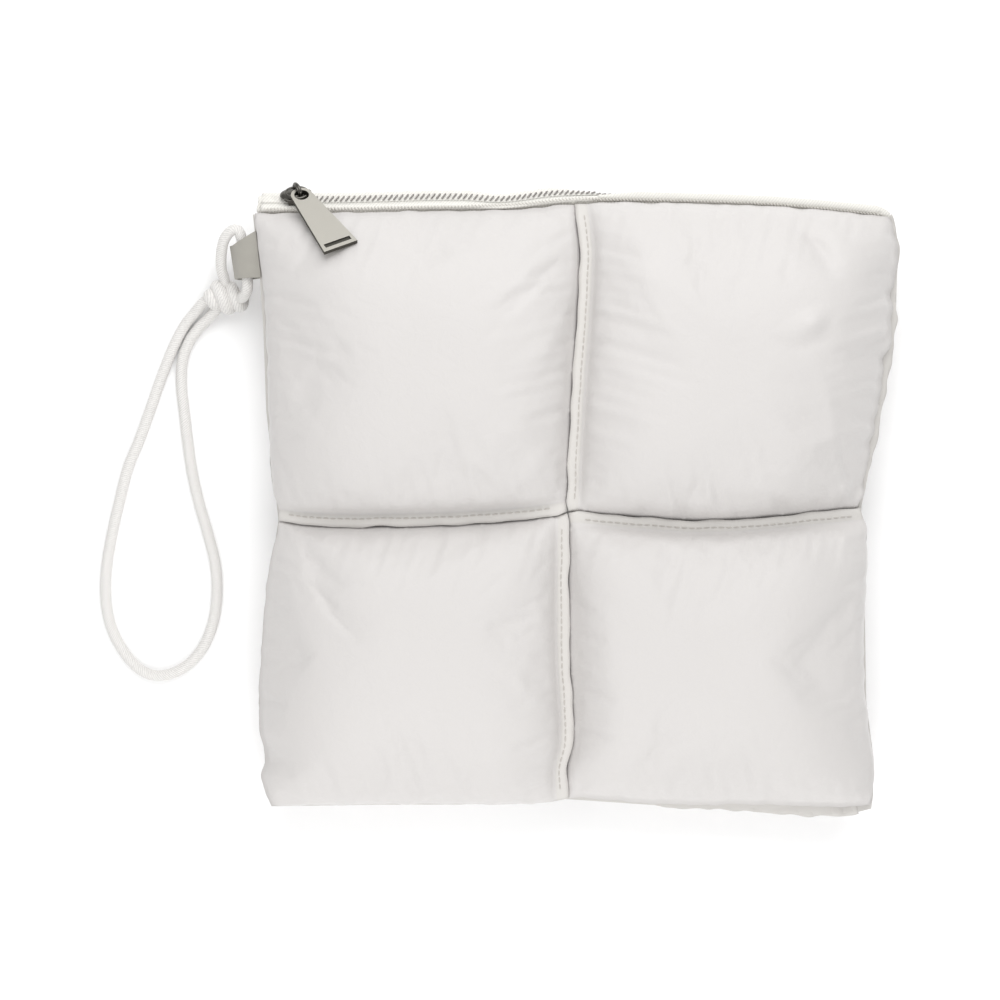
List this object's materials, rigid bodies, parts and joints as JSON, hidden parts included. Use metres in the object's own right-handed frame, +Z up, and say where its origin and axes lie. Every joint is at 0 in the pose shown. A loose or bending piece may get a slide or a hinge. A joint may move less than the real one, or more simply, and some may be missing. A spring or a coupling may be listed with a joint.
{
  "type": "zip pouch bag",
  "caption": "Puffy off-white padded pouch in a basket weave, zipped along its top edge, with a side tab and a wrist cord.",
  "frame": {"origin": "on the floor, below the middle of the bag's box without its cord", "axes": "+X to the bag's right, +Y towards its zip, +Z up out of its front"},
  "size_m": [0.3628, 0.2834, 0.0628],
  "materials": {
    "pad_cloth": "satin",
    "pouch_cloth": "satin",
    "zip_tape": "matte",
    "zip_teeth": "satin",
    "slider_nickel": "polished",
    "puller_nickel": "polished",
    "tab_leather": "satin",
    "cord": "matte"
  },
  "bodies": {
    "bag": {"pouch_shell": "pouch_cloth", "front_strip_top": "pad_cloth", "back_strip_top": "pad_cloth", "front_strip_right": "pad_cloth", "back_strip_right": "pad_cloth", "front_strip_bottom": "pad_cloth", "back_strip_bottom": "pad_cloth", "front_strip_left": "pad_cloth", "back_strip_left": "pad_cloth", "zip_tape_front": "zip_tape", "zip_teeth_front": "zip_teeth", "zip_tape_back": "zip_tape", "zip_teeth_back": "zip_teeth", "side_tab": "tab_leather", "zip_slider": "slider_nickel", "wrist_cord": "cord", "tab_cord_loop": "cord", "wrist_knot": "cord"},
    "puller": {"zip_puller": "puller_nickel"}
  },
  "joints": [
    {"name": "puller_swing", "type": "hinge", "parent": "bag", "child": "puller", "pos_m": [-0.11878, 0.13879, 0.0324], "axis": [-0.866, -0.3536, 0.3536], "range_deg": [0, 100]}
  ]
}
